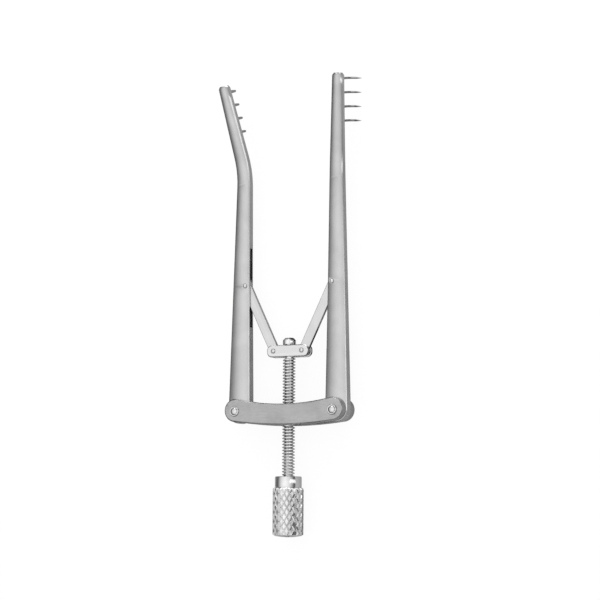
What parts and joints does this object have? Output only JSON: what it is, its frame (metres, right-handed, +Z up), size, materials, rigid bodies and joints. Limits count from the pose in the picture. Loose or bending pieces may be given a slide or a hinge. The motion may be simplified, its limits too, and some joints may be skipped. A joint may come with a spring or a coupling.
{
  "type": "self retaining retractor",
  "caption": "Small self retaining retractor: two hooked arms on a crossbar, spread by a thumbscrew through a yoke and links.",
  "frame": {"origin": "on the flat underside of the rear crossbar plate, midway between the two arm pivots and straight below the axis of the screw", "axes": "+X across the instrument towards the right arm, +Y along it from the knob to the tips, +Z up, away from the face it rests on; the hooks point down"},
  "size_m": [0.0336, 0.0997, 0.01],
  "materials": {
    "arm_steel": "satin brushed stainless steel, grain along the arm",
    "crossbar_steel": "matte brushed stainless steel",
    "link_steel": "fine satin stainless steel",
    "yoke_steel": "fine satin stainless steel",
    "hook_steel": "polished stainless steel wire",
    "rivet_steel": "polished stainless steel",
    "screw_steel": "bright turned stainless steel",
    "knob_steel": "turned and knurled stainless steel"
  },
  "bodies": {
    "crossbar": {"front_crossbar": "crossbar_steel", "rear_crossbar": "crossbar_steel", "nut_block": "crossbar_steel", "crossbar_rivet_left": "rivet_steel", "crossbar_rivet_right": "rivet_steel"},
    "left_arm": {"left_arm": "arm_steel", "arm_rivet_left": "rivet_steel", "left_hook_1": "hook_steel", "left_hook_2": "hook_steel", "left_hook_3": "hook_steel", "left_hook_4": "hook_steel"},
    "right_arm": {"right_arm": "arm_steel", "arm_rivet_right": "rivet_steel", "right_hook_1": "hook_steel", "right_hook_2": "hook_steel", "right_hook_3": "hook_steel", "right_hook_4": "hook_steel"},
    "yoke": {"yoke": "yoke_steel", "yoke_rivet_left": "rivet_steel", "yoke_rivet_right": "rivet_steel"},
    "left_link": {"left_link": "link_steel"},
    "right_link": {"right_link": "link_steel"},
    "thumbscrew": {"lead_screw": "screw_steel", "screw_cap": "screw_steel", "thumb_knob": "knob_steel", "knob_pin": "rivet_steel"}
  },
  "joints": [
    {"name": "left_arm_swing", "type": "hinge", "parent": "crossbar", "child": "left_arm", "pos_m": [-0.01162, 0, 0.00335], "axis": [0, 0, 1], "range_deg": [-10, 12]},
    {"name": "right_arm_swing", "type": "hinge", "parent": "crossbar", "child": "right_arm", "pos_m": [0.01162, 0, 0.00335], "axis": [0, 0, -1], "range_deg": [-10, 12]},
    {"name": "yoke_slide", "type": "slide", "parent": "crossbar", "child": "yoke", "axis": [0, 1, 0], "range_m": [-0.00244, 0.00293]},
    {"name": "left_link_swing", "type": "hinge", "parent": "yoke", "child": "left_link", "pos_m": [-0.0034, 0.01305, 0.00335], "axis": [0, 0, 1], "range_deg": [-18.3, 21.9]},
    {"name": "right_link_swing", "type": "hinge", "parent": "yoke", "child": "right_link", "pos_m": [0.0034, 0.01305, 0.00335], "axis": [0, 0, -1], "range_deg": [-18.3, 21.9]},
    {"name": "thumbscrew_turn", "type": "hinge", "parent": "yoke", "child": "thumbscrew", "pos_m": [0, 0, 0.00335], "axis": [0, 1, 0], "range_deg": [-1351, 1621]}
  ],
  "couplings": [
    {"joint": "thumbscrew_turn", "follows": "yoke_slide", "rad_per_m": 9666.4},
    {"joint": "left_arm_swing", "follows": "yoke_slide", "rad_per_m": 70.952},
    {"joint": "right_arm_swing", "follows": "yoke_slide", "rad_per_m": 70.952},
    {"joint": "left_link_swing", "follows": "yoke_slide", "rad_per_m": 130.11},
    {"joint": "right_link_swing", "follows": "yoke_slide", "rad_per_m": 130.11}
  ]
}
